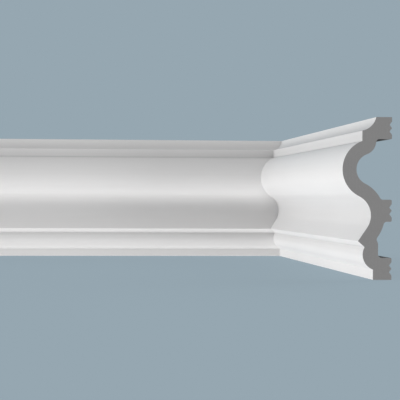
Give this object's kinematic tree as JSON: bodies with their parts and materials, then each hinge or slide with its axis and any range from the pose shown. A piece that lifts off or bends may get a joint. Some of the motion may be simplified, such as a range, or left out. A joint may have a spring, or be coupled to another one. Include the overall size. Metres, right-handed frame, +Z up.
{
  "type": "mitred wall moulding",
  "caption": "Hollow-backed moulding with a rounded nose, cove and lower bead: a long run mitred to a short return at an inside corner.",
  "frame": {"origin": "bottom of the inside corner, where the back planes of both runs meet", "axes": "+Z up the height, the long run lies along -X with its back in the plane Y = 0, the return lies along -Y with its back in the plane X = 0"},
  "size_m": [2, 0.4, 0.1],
  "materials": {
    "moulding": "matt white polystyrene, smooth extruded skin",
    "cut_face": null
  },
  "bodies": {
    "root": {"long_run": "moulding", "corner_return": "moulding"}
  },
  "joints": []
}
